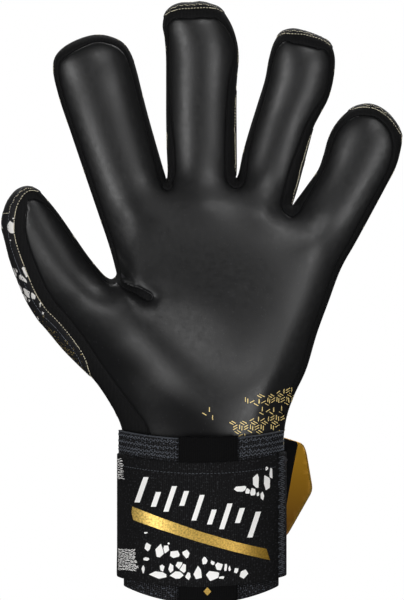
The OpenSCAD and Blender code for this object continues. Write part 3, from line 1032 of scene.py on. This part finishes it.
# ---------------------------------------------------------------- flat prints laid on curved cloth
def strap_place(x, z, lift):
    """The strap's outer face in front at x, z."""
    face = STRAP[3]
    u = 360 - np.degrees(np.arccos(np.clip((x - CX) / (CA + face), -1, 1)))
    swell = np.array([strap_swell(a, b) for a, b in zip(u, z + 3.6 * np.sin(np.radians(u)) ** 2)])
    px, py = oval(u, face + lift)
    nx, ny = oval(u, face + 1 + lift)
    return np.stack([px + (nx - px) * swell, py + (ny - py) * swell, z], 1)


def densify(outline, pitch):
    """The closed outline with corners about pitch apart."""
    ring = []
    for a, b in zip(outline, np.roll(outline, -1, 0)):
        n = max(1, int(np.hypot(*(b - a)) / pitch))
        ring += [a + (b - a) * k / n for k in range(n)]
    return np.array(ring)


def lattice(ring, start, pitch):
    """A square grid over the ring's box, from start inside its lower corner."""
    lo, hi = ring.min(0), ring.max(0)
    x, z = np.meshgrid(np.arange(lo[0] + start, hi[0], pitch), np.arange(lo[1] + start, hi[1], pitch))
    return np.stack([x.ravel(), z.ravel()], 1)


def fill(ring, more):
    """Flat triangles inside the closed ring, over its corners and more."""
    n = len(ring)
    out = geometry.delaunay_2d_cdt([Vector(p) for p in np.vstack([ring, more])],
                                   [(i, (i + 1) % n) for i in range(n)], [], 1, 1e-5)
    return (np.array([tuple(v) for v in out[k]]) for k in (0, 2))


def print_mesh(name, shapes, place, mat, slot, thick=0.12, lift=0.06, pitch=1.3):
    """Closed thin shapes, drawn flat as outlines, laid on a curved face."""
    verts, faces, rest = [], [], []
    base = 0
    for shape in shapes:
        ring = densify(np.array(shape, float), pitch)
        g = lattice(ring, pitch / 2, pitch)
        if len(g):
            ax, az = ring.T
            bx, bz = np.roll(ring, -1, 0).T
            gx, gz = g[:, :1], g[:, 1:]
            rise = np.where(np.abs(bz - az) < 1e-9, 1e-9, bz - az)
            cross = ((az > gz) != (bz > gz)) & (gx < (bx - ax) * (gz - az) / rise + ax)
            far = np.sqrt(((g[:, None] - ring) ** 2).sum(2)).min(1) > pitch * 0.45
            g = g[(cross.sum(1) % 2 == 1) & far]
        q, f = fill(ring, g)
        if not len(f):
            continue
        f = upright(q, f, 1e-9)
        m = len(q)
        verts += [place(q[:, 0], q[:, 1], lift + thick), place(q[:, 0], q[:, 1], lift - 0.12)]
        rest += [np.stack([q[:, 0], 0 * q[:, 0], q[:, 1]], 1)] * 2
        faces += [tuple(t + base) for t in f] + [tuple(t[::-1] + base + m) for t in f]
        faces += [(b + base, a + base, a + base + m, b + base + m) for a, b in open_edges(f, m)]
        base += 2 * m
    return make_object(name, np.vstack(verts), faces, mat, slot, smooth_all=False, rest=np.vstack(rest))


def shards(spots):
    """Angular patches at x, z with half sizes, cut back along straight gaps where they would meet."""
    out = []
    for i, (x, z, rx, rz) in enumerate(spots):
        r = np.random.default_rng(40 + i)
        sides = int(r.integers(5, 7))
        a = np.linspace(0, 2 * math.pi, sides, endpoint=False)
        a = a + r.uniform(-0.35, 0.35, sides) + r.uniform(0, 1)
        k = r.uniform(1.0, 1.45, sides)
        p = np.stack([x + rx * k * np.cos(a), z + rz * k * np.sin(a)], 1)
        for j, (u, w, ru, rw) in enumerate(spots):
            away = np.array([u - x, w - z])
            span = np.linalg.norm(away)
            if j == i or span > 7:
                continue
            away /= span
            mine, other = np.hypot(rx * away[0], rz * away[1]), np.hypot(ru * away[0], rw * away[1])
            side = (p - [x, z]) @ away - (span * mine / (mine + other) - 0.2)
            cut = []
            for b in range(len(p)):
                c = (b + 1) % len(p)
                if side[b] <= 0:
                    cut.append(p[b])
                if (side[b] <= 0) != (side[c] <= 0):
                    cut.append(p[b] + (p[c] - p[b]) * side[b] / (side[b] - side[c]))
            p = np.array(cut)
        q = np.roll(p, -1, 0)
        out.append(np.stack([0.95 * p + 0.05 * q, 0.05 * p + 0.95 * q], 1).reshape(-1, 2))
    return out


# the gold band across the strap
SASH = [(-33.4, 43.6), (-33.8, 40.6), (-32.9, 37.1), (-20, 32.8), (-0.2, 26.8), (18, 21.9), (34.8, 17.6),
        (33.0, 23.1), (18, 26.9), (-0.3, 32.1), (-20, 38.7)]
sash = print_mesh("strap_gold_band", [SASH], strap_place, "gold", "closure_coating")
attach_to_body(sash, "cuff")
bars = []  # plain slanted bars, long and short in turn
for i in range(9):
    x, z = -29.0 + 7.0 * i, 51.9 - 2.1 * i
    high = 6.2 if i % 2 == 0 else 3.6
    z += 0 if i % 2 == 0 else (-2.4 if i % 4 == 1 else 2.4)
    left, right = x - 0.34 * high, x + 0.34 * high
    w = 1.25
    bars.append([(left - w, z - high), (left + w, z - high), (right + w, z + high), (right - w, z + high)])
marks = print_mesh("strap_slanted_bars", bars, strap_place, "white", "strap_elastic")
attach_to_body(marks, "cuff")
# pale patches on the strap: x, z and half sizes
LOWER = [(-26.2, 24.2, 1.5, 1.6), (-20.1, 22.4, 1.7, 2.7), (-17.2, 23.3, 1.2, 2.1), (-12.5, 20.9, 1.9, 1.8),
         (-7.1, 21.2, 1.4, 1.6), (-26.8, 18.4, 1.2, .7), (-28.3, 13.3, .6, 1.5), (-19.2, 14.2, 1.1, 1.4),
         (-14.6, 13.9, 1.2, 2.0), (-10.6, 15.7, 1.7, 1.3), (-8.4, 14.2, 1.6, 2.0), (-21.0, 10.9, 3.8, 1.4),
         (-11.6, 10.6, 3.0, 1.5), (-6.1, 10.3, 1.1, 1.5), (-0.9, 11.7, 1.7, 2.7), (2.4, 17.8, 1.3, 1.7),
         (6.4, 16.9, .9, 1.1), (9.5, 15.1, 1.7, 1.8), (12.9, 14.5, .7, 1.5), (14.9, 13.9, .5, 1.1),
         (18, 13, 1.1, 1.1), (21.9, 11.2, 1.8, 1.7), (6.4, 10.5, 3.2, 1.9), (11, 9.7, 1.5, .6),
         (-26.9, 31.1, .9, .4), (-15.8, 26.1, .6, .5)]
UPPER = [(28.1, 55.9, 1.3, 2.9), (33.2, 56.2, 1.4, 3.4), (33.2, 62, .6, .9), (35.2, 59.6, .5, 3.4),
         (20.4, 52.6, 3.0, 1.5), (23.8, 51.4, 1.1, 1.3), (26.5, 50.9, 1.2, 1.6), (28.9, 49.8, .5, 1),
         (31, 48.9, .7, 1.5)]
patches = print_mesh("strap_pale_patches", shards(LOWER + UPPER), strap_place, "white", "strap_elastic")
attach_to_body(patches, "cuff")
dashes = []  # fine woven dashes at the strap's end
r = np.random.default_rng(2)
for x0, x1, z0, z1 in ((-40.0, -31.6, 12.5, 23), (-40.6, -38.6, 57, 66.5)):
    for z in np.arange(z0, z1, 0.62):
        x = x0 + r.uniform(0, 0.5)
        while x < x1 - (z - z0) * 0.12 * (x1 - x0 > 4):
            long = r.uniform(0.5, 1.6)
            lift = r.choice((-0.25, 0.25))
            dashes.append([(x, z), (x + long, z + lift), (x + long, z + lift + 0.3), (x, z + 0.3)])
            x += long + 0.3
weave = print_mesh("strap_fine_dashes", dashes, strap_place, "white", "strap_elastic")
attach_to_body(weave, "cuff")


# ---------------------------------------------------------------- thread
STITCH = ((0, 0.45), (0.18, 1), (0.82, 1), (1, 0.45))  # places along a stitch and share of its radius there


def rods(name, pairs, radius, mat, slot, sides=6):
    """Short rounded stitches between pairs of points."""
    verts, faces = [], []
    for a, b in pairs:
        a, b = np.asarray(a, float), np.asarray(b, float)
        d = b - a
        length = np.linalg.norm(d)
        if length < 1e-6:
            continue
        d = d / length
        s = np.cross(d, [0.3, 0.2, 0.93])
        s /= np.linalg.norm(s)
        t = np.cross(d, s)
        base = len(verts)
        for at, r in STITCH:
            for k in range(sides):
                w = 2 * math.pi * k / sides
                verts.append(a + d * length * at + (s * math.cos(w) + t * math.sin(w)) * radius * r)
        faces += tube(len(STITCH), sides, base)
        faces += [tuple(range(base, base + sides))[::-1], tuple(range(len(verts) - sides, len(verts)))]
    return make_object(name, verts, faces, mat, slot)


def stitch(u0, z0, u1, z1, off, u):
    """Ends of a stitch on the cuff between two angles and heights, sagging as at the angle u."""
    return [(*oval(u0, off), sag(u, z0)), (*oval(u1, off), sag(u, z1))]


# overlock stitches over the strap's end, a row along its top edge and four zigzag rows on the upper band
pairs = []
for z in np.arange(11, 68.5, 0.9):
    u = 341 + 2.4 * math.sin(z * 2.1)
    pairs.append(stitch(u - 3.2, z, u + 5.6, z + 0.55, 5.3, u))
overlock = rods("strap_end_overlock", pairs, 0.17, "thread", "strap_elastic")
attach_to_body(overlock, "cuff")
pairs = [stitch(u, 63.6, u + 1.5, 63.6, 4.75, u) for u in np.arange(196, 332, 2.6)]
top_row = rods("strap_top_stitches", pairs, 0.13, "thread", "strap_elastic")
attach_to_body(top_row, "cuff")
pairs = []
for z in (78.4, 75.4, 72.8, 71.2):
    for k, u in enumerate(np.arange(0, 360, 1.9)):
        dz = 0.55 if k % 2 else -0.55
        if not 253 < u < 297:
            pairs.append(stitch(u, z - dz, u + 1.6, z + dz, 3.86, u))
zigzag = rods("upper_band_zigzag", pairs, 0.15, "thread", "knit_band", sides=5)
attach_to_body(zigzag, "cuff")


def loop_place(x, z, lift):
    """The pull loop's outer face at x, z."""
    return np.stack([x, -np.sqrt(1 - ((x - CX) / (CA + 4.2)) ** 2) * (CB + 4.5) - lift, z], 1)


mark = print_mesh("pull_loop_mark", [[(3.6, 1.0), (5.5, 3.0), (3.6, 5.0), (1.7, 3.0)]], loop_place, "gold",
                  "closure_coating")
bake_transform(mark)

# ---------------------------------------------------------------- closure tab at the back
TAB = [(-6.5, 11.5), (-6.5, 66.0), (10, 70.5), (29, 74.6), (40.5, 76.4), (49.6, 73.6), (51.0, 72.6),
       (52.3, 68.6), (55.2, 51.5), (54.9, 49.4), (43.2, 28.6), (40, 25.4), (30, 17), (24, 12.6), (20, 11.2)]


def tab_place(depth):
    """Places points on the tab's turned and slightly curved plane, at depth behind its inner face."""
    a = math.radians(-7)
    c, s = math.cos(a), math.sin(a)

    def place(x, z, lift):
        dx = (x + 5) / c
        y = 25.4 + depth + lift
        curve = 0.0016 * np.maximum(dx - 20, 0) ** 2
        return np.stack([-5 + dx * c - (depth + lift) * s, y + dx * s - curve, z], 1)
    return place


def plate(name, outline, depth0, depth1, mat, slot, rounding=0.5):
    """A plate on the back of the wrist with softly rounded edges."""
    ring = densify(np.array(outline, float), 1.5)
    ring = 0.25 * np.roll(ring, 1, 0) + 0.5 * ring + 0.25 * np.roll(ring, -1, 0)
    tangent = np.roll(ring, -1, 0) - np.roll(ring, 1, 0)
    tangent /= np.linalg.norm(tangent, axis=1, keepdims=True)
    out = np.stack([tangent[:, 1], -tangent[:, 0]], 1)
    if ((ring - ring.mean(0)) * out).sum() < 0:
        out = -out
    soft = rounding * 0.3
    rows = [(-rounding, depth0), (-soft, depth0 + soft), (0, depth0 + rounding), (0, depth1 - rounding),
            (-soft, depth1 - soft), (-rounding, depth1)]
    n = len(ring)
    verts = [tab_place(depth)(*(ring + out * inset).T, 0) for inset, depth in rows]
    faces = tube(len(rows), n)
    low = ring - out * rounding
    q, tri = fill(low, lattice(low, 1, 2.5))
    match = {tuple(np.round(p, 5)): i for i, p in enumerate(low)}
    for depth, first, way in ((depth0, 0, 1), (depth1, (len(rows) - 1) * n, -1)):
        ids, extra = [], []
        base = sum(len(v) for v in verts)
        for p in q:
            key = tuple(np.round(p, 5))
            if key in match:
                ids.append(first + match[key])
            else:
                ids.append(base + len(extra))
                extra.append(p)
        if extra:
            verts.append(tab_place(depth)(*np.array(extra).T, 0))
        faces += [tuple(ids[i] for i in t[::way]) for t in tri]
    o = make_object(name, np.vstack(verts), faces, mat, slot)
    bpy.context.view_layer.objects.active = o
    bpy.ops.object.select_all(action="DESELECT")
    o.select_set(True)
    bpy.ops.object.mode_set(mode="EDIT")
    bpy.ops.mesh.select_all(action="SELECT")
    bpy.ops.mesh.normals_make_consistent(inside=False)
    bpy.ops.object.mode_set(mode="OBJECT")
    return o


tab = plate("closure_tab_gold", TAB, 1.3, 3.3, "tab", "closure_coating", 0.7)
HOOK = [(-3, 14), (-3, 65.5), (10, 69.8), (29, 74.2), (40.5, 76.2), (48.4, 73.9), (45.6, 60),
        (42.8, 44), (40.5, 30), (37, 25), (30, 18.5), (22, 13)]
hook = plate("hook_patch_pile", HOOK, 0.1, 1.2, "hook", "hook_tape", 0.3)
RIM = [(49.4, 72.9), (51.3, 71.4), (54.3, 51.4), (53.9, 49.6), (42.9, 30.2), (43.4, 29.8), (54.7, 49.3),
       (55.0, 51.5), (52.1, 68.6), (50.8, 72.4), (49.6, 73.4)]
rim_line = print_mesh("closure_tab_rim", [RIM], lambda x, z, lift: tab_place(1.3)(x, z, -lift), "gold",
                      "closure_coating", thick=0.08, lift=0.04)
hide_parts("closure_tab")
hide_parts("hook_patch")
for o in (tab, hook, rim_line):
    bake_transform(o)


def arc(u0, u1, off):
    """Length round the cuff's oval between two angles, in metres."""
    x, y = oval(np.linspace(u0, u1, 200), off)
    return float(np.hypot(np.diff(x), np.diff(y)).sum()) * MM


for piece, u0, u1, off, high, with_pieces, on in (
        (sleeve, 0, 360, -1.25, 0.0606, [], []),
        (hem, 0, 360, 0.75, 0.0104, [], [sleeve]),
        (upper, 0, 360, 3.2, 0.014, [cord, zigzag], [sleeve]),
        (strip, 254, 296.5, 4.4, 0.0123, [], [upper]),
        (strap, 184, 337, 3.5, 0.0606, [sash, marks, patches, weave, top_row], [sleeve]),
        (binding, 337.2, 360, 3.8, 0.0608, [overlock], [strap]),
        (back_strap, 100, 184, 3.5, 0.0606, [], [strap]),
        (loop, 45, 98, 0.8, 0.052, [], [sleeve])):
    arc(u0, u1, off)
    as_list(on)
    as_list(with_pieces)

# ---------------------------------------------------------------- seams and print on the hand
skin = BVHTree.FromPolygons([tuple(v) for v in xyz], [tuple(int(i) for i in t) for t in ALL])


def on_skin(p, back):
    """Points of the hand's palm or back face over 2-D points, with the normal and the part there."""
    d, _ = nearest(p)
    d = np.where(sample(signed, p) < 0, 0, d)
    hh, yy = half_thickness(p, d), middle_y(p)
    guess = np.stack([p[:, 0], yy + (BACK * hh if back else -hh), p[:, 1]], 1)
    draw_in(guess)
    spots, norms, codes = [], [], []
    for g in guess:
        where, n, i, _far = skin.find_nearest(Vector(g))
        spots.append(tuple(where))
        norms.append(tuple(n))
        codes.append(parts[i])
    return np.array(spots), np.array(norms), np.array(codes)


def seam(title, field, back, step, length, radius, mat, slot, lift=0.12, low=70.0):
    """Stitches along the line where the field is zero, one piece for each part of the hand."""
    groups = {}
    for line in contour(field, 0.0):
        pts = resample(line, 0.5, 3)[0]
        pts = pts[(sample(signed, pts) > 0.05) & (pts[:, 1] > low)]
        if len(pts) < 12:
            continue
        spots, norms, codes = on_skin(pts, back)
        spots = spots + norms * lift
        leap = np.linalg.norm(np.diff(spots, axis=0), axis=1)
        s = np.concatenate([[0], np.cumsum(leap)])
        for a in np.arange(0, s[-1] - length, step):
            i, j = np.searchsorted(s, a), np.searchsorted(s, a + length)
            if j >= len(s) or leap[i:j].max(initial=0) > 1.5:
                continue
            groups.setdefault(int(codes[i]), []).append((spots[i], spots[j]))
    for code, pairs in groups.items():
        label = "hand" if code == 0 else part_name(code)
        attach(rods(f"{title}_{label}", pairs, radius, mat, slot), code)


seam("piping_palm_side", only(wide[..., 1] > 0.2, field_g), False, 1.5, 1.25, 0.2, "cream", "back_panel")
seam("piping_back_side", only(wide[..., 1] < -0.2, field_b), True, 1.5, 1.25, 0.2, "cream", "back_panel")
# a loose zigzag of cream thread over the ends of the fingers and the thumb
at_ends = (wide[..., 1] > 1.2) & ((mesh_z > 226) | ((mesh_x < -80) & (mesh_z > 186)))
wavy = field_g + 0.5 * wide[..., 1] + 0.35 * np.sin(mesh_x * 1.9 + mesh_z * 0.6)
seam("finger_end_stitch", only(at_ends, wavy), False, 1.3, 0.9, 0.13, "cream", "back_panel", lift=0.1)
# a second row of dark thread inside the back panel's edge along the thumb
second = only(wide[..., 1] > 3.5, field_g + 2.6)
seam("thumb_second_row", second, False, 1.6, 1.3, 0.14, "thread", "back_panel")

# hatched cubes printed on the heel of the palm
lines = []
r = np.random.default_rng(5)
CUBE = 3.0  # side of a cube, mm


def in_patch(x, z):
    """Whether the ragged print covers x, z."""
    upper = 20 < x < 46 and 92.8 + max(0, 27 - x) * 0.4 < z < 96 + (x - 20) * 0.2
    lower = 10 + (88 - z) * 0.75 < x < 41 and 77 < z < 84.5 + (x - 10) * 0.1
    between = 22 + r.uniform(0, 10) < x < 40 and 87 < z < 93 and r.uniform() < 0.45
    few = 1.0 < x < 7.0 and 85.5 < z < 91 and r.uniform() < 0.7
    return upper or lower or between or few


def towards(degrees):
    """Unit direction at an angle from the x axis."""
    return np.array([math.cos(math.radians(degrees)), math.sin(math.radians(degrees))])


for row in range(-2, 14):
    for col in range(-2, 16):
        centre = np.array([8 + (col + row % 2 / 2) * CUBE * math.sqrt(3), 78 + row * CUBE * 1.5])
        for face in (30, 150, 270):
            e1, e2 = towards(face), towards(face + 120)
            for f in (0.28, 0.7):
                if r.uniform() < 0.14:
                    continue
                p, q = (centre + CUBE * (e1 * f + e2 * part_way) for part_way in (0.12, 0.88))
                if not in_patch(*(p + q) / 2):
                    continue
                side = np.array([-(q - p)[1], (q - p)[0]]) / np.linalg.norm(q - p) * 0.19
                lines.append([p - side, q - side, q + side, p + side])


def palm_place(x, z, lift):
    """The palm's face over x, z."""
    spots, norms, _ = on_skin(np.stack([x, z], 1), False)
    return spots + norms * lift


hatch = print_mesh("palm_hatched_print", lines, palm_place, "gold_print", "latex_foam", thick=0.05,
                   lift=0.05, pitch=2.0)
attach(hatch, 0)


# ---------------------------------------------------------------- stage and light
def light_box(name, loc, width, height, power, aim=0.15):
    """A rectangular light that faces the glove at the height aim."""
    light = bpy.data.lights.new(name, "AREA")
    light.shape = "RECTANGLE"
    light.size, light.size_y = width, height
    light.energy = power
    o = new_object(name, light)
    o.location = loc
    o.rotation_euler = (Vector((0, 0, aim)) - Vector(loc)).to_track_quat("-Z", "Y").to_euler()


light_box("left_box", (-1.05, -1.15, -0.1), 0.42, 0.8, 10.8)
light_box("low_box", (-0.62, -1.2, -0.62), 0.3, 0.34, 2)
light_box("right_box", (0.8, -1.35, -0.5), 0.42, 1.0, 10.5)
light_box("top_box", (0.5, -1.75, 0.75), 0.7, 0.4, 9, aim=0.13)
light_box("back_left", (-0.6, 0.9, 1.4), 0.8, 0.8, 14)
light_box("back_right", (0.6, 0.9, 1.4), 0.8, 0.8, 14)

bpy.context.scene.view_settings.view_transform = "Standard"
world = bpy.data.worlds.new("world")
bpy.context.scene.world = world
world.use_nodes = True
background = world.node_tree.nodes["Background"]
background.inputs[0].default_value = (1, 1, 1, 1)
background.inputs[1].default_value = 0.02

# the backdrop is a ball round everything, with its bands from pole to pole
R, LAT, LON = 8.0, 24, 48
around = [2 * math.pi * j / LON for j in range(LON)]
sky = bpy.data.meshes.new("backdrop")
sky.from_pydata([(R * math.cos(a) * math.cos(b), R * math.cos(a) * math.sin(b), R * math.sin(a))
                 for a in (math.pi * (i / LAT - 0.5) for i in range(LAT + 1)) for b in around], [],
                tube(LAT + 1, LON))
backdrop = new_object("backdrop", sky)
glow = bpy.data.materials.new("backdrop")
glow.use_nodes = True
glow.node_tree.nodes.clear()
em = glow.node_tree.nodes.new("ShaderNodeEmission")
em.inputs[1].default_value = 1.0
mo = glow.node_tree.nodes.new("ShaderNodeOutputMaterial")
glow.node_tree.links.new(em.outputs[0], mo.inputs[0])
sky.materials.append(glow)
for flag in ("visible_diffuse", "visible_glossy", "visible_transmission", "visible_shadow"):
    setattr(backdrop, flag, False)
backdrop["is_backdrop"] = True

size_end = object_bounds()
sizes = {"start": size_start, "end": size_end}
sizes = {when: [list(map(float, v)) for v in box] for when, box in sizes.items()}
